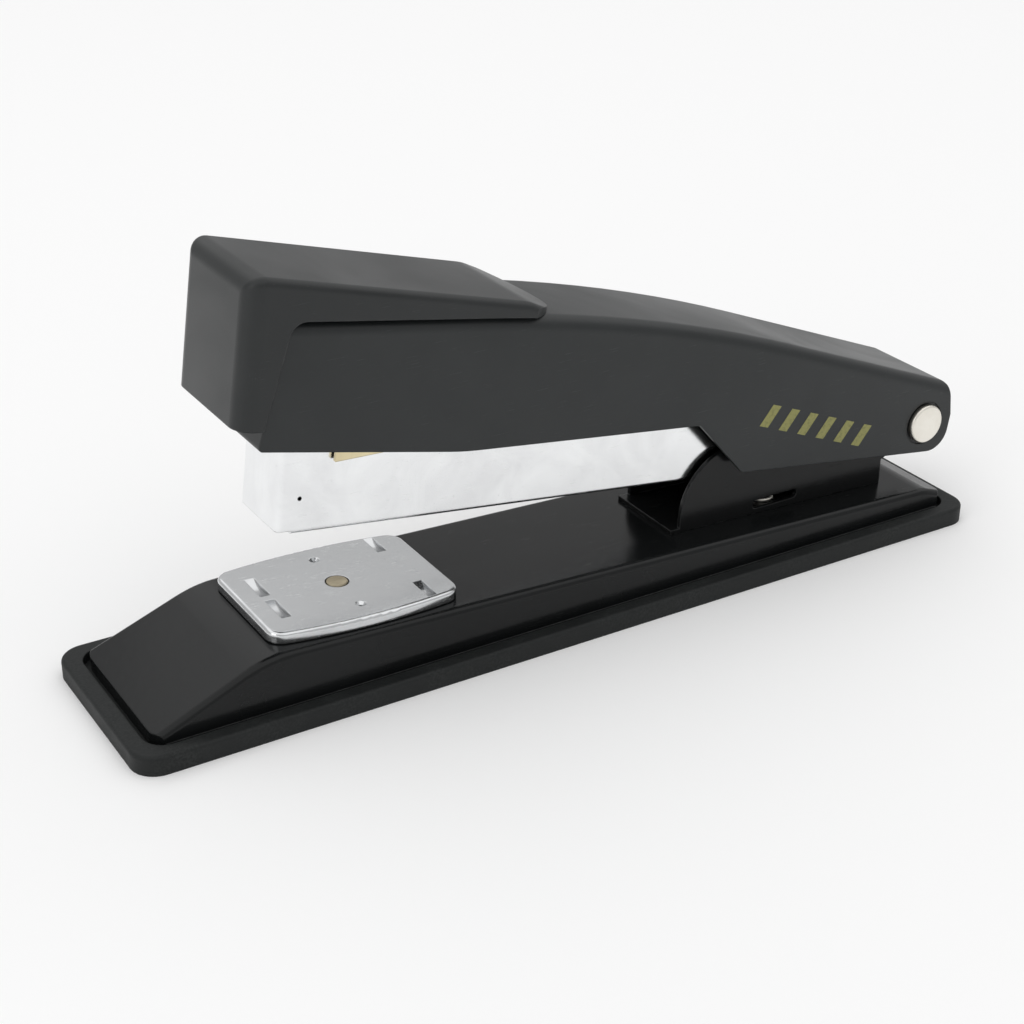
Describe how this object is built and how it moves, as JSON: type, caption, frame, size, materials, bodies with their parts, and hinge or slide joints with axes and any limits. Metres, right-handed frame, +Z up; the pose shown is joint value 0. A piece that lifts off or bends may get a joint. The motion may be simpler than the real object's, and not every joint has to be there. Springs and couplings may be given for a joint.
{
  "type": "desk stapler",
  "caption": "Long-arm desk stapler: black enamelled base on a rubber sole, turning chrome anvil, chrome magazine and a charcoal cover hinged on one pin.",
  "frame": {"origin": "underside of the rubber sole, at the middle of its length and width", "axes": "+X from the nose towards the hinge, +Y across the width, +Z up; the stapler's long side lies along X"},
  "size_m": [0.19, 0.043, 0.0819],
  "materials": {
    "sole_rubber": "matte black rubber",
    "base_enamel": "glossy black stove enamel",
    "bracket_enamel": "glossy black enamel",
    "cover_paint": "satin charcoal paint",
    "cap_plastic": "satin moulded charcoal plastic",
    "anvil_chrome": "bright nickel-chrome plate",
    "magazine_chrome": "mirror chrome plate",
    "nickel": "satin nickel-plated rivet head",
    "aged_brass": "dulled brass rivet",
    "brass_plate": "pale yellow passivated plate",
    "zinc_steel": "zinc-plated steel",
    "spring_steel": "bright spring wire",
    "driver_steel": "hardened ground steel",
    "staple_wire": "galvanised wire"
  },
  "bodies": {
    "base": {"sole_pad": "sole_rubber", "base_shell": "base_enamel", "anvil_spring": "spring_steel", "hinge_bracket": "bracket_enamel", "bracket_rivets": "nickel", "hinge_pin": "nickel", "cover_spacers": "zinc_steel", "magazine_washers": "zinc_steel", "lift_spring": "spring_steel"},
    "anvil_stem": {"anvil_pivot": "aged_brass", "anvil_button": "zinc_steel"},
    "anvil": {"anvil_plate": "anvil_chrome"},
    "magazine": {"magazine_channel": "magazine_chrome", "staple_rail": "zinc_steel", "rail_rivets": "zinc_steel", "guide_rod": "zinc_steel", "rod_stop": "zinc_steel", "staple_strip": "staple_wire", "pusher_spring": "spring_steel"},
    "pusher": {"pusher": "zinc_steel"},
    "cover": {"cover_body": "cover_paint", "front_cap": "cap_plastic", "driver_blade": "driver_steel", "driver_rivets": "zinc_steel", "driver_carrier": "brass_plate", "carrier_rivets": "zinc_steel", "return_spring": "spring_steel", "spring_rivet": "zinc_steel"}
  },
  "joints": [
    {"name": "magazine_tilt", "type": "hinge", "parent": "base", "child": "magazine", "pos_m": [0.087, 0, 0.0215], "axis": [0, 1, 0], "range_deg": [-6, 75], "stiffness_Nm_per_rad": 0.6, "springref_deg": 9.74},
    {"name": "cover_press", "type": "hinge", "parent": "magazine", "child": "cover", "pos_m": [0.087, 0, 0.0215], "axis": [0, 1, 0], "range_deg": [-3, 65], "stiffness_Nm_per_rad": 0.6, "springref_deg": 6.88},
    {"name": "pusher_slide", "type": "slide", "parent": "magazine", "child": "pusher", "axis": [0.9917, 0, -0.1288], "range_m": [0, 0.034], "stiffness_N_per_m": 20, "springref_m": -0.03, "deforming": ["pusher_spring"]},
    {"name": "anvil_lift", "type": "slide", "parent": "base", "child": "anvil_stem", "axis": [0.0384, 0, 0.9993], "range_m": [0, 0.0025], "stiffness_N_per_m": 300, "springref_m": -0.002, "deforming": ["anvil_spring"]},
    {"name": "anvil_turn", "type": "hinge", "parent": "anvil_stem", "child": "anvil", "pos_m": [-0.0465, 0, 0.01277], "axis": [0.0384, 0, 0.9993], "range_deg": [0, 180]}
  ]
}
